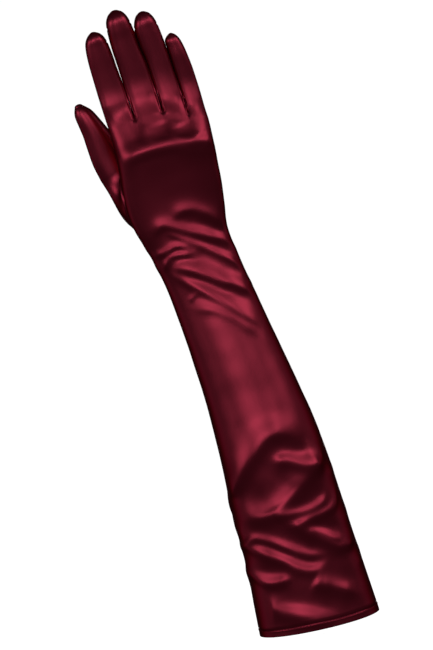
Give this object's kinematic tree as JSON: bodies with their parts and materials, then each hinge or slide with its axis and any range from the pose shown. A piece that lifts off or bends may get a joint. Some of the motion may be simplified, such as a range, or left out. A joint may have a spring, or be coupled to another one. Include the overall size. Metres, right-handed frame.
{
  "type": "evening glove",
  "caption": "Long satin evening glove for the right hand, filled as when worn, with a set-in thumb, side strips between the fingers and a turned hem at the open upper arm end.",
  "frame": {"origin": "centre of the arm opening, at the middle of its slanted rim", "axes": "+Z from the arm opening to the fingertips, -Y out of the back of the hand, +Y out of the palm, -X towards the thumb and +X towards the little finger"},
  "size_m": [0.1102, 0.083, 0.5341],
  "materials": {
    "satin": "smooth burgundy satin with a soft sheen",
    "hem_satin": "the same satin turned and stitched, two layers thick"
  },
  "bodies": {
    "root": {"hand_and_sleeve": "satin", "finger_strip_index_middle": "satin", "finger_strip_middle_ring": "satin", "finger_strip_ring_little": "satin", "thumb": "satin", "cuff_hem": "hem_satin"}
  },
  "joints": []
}
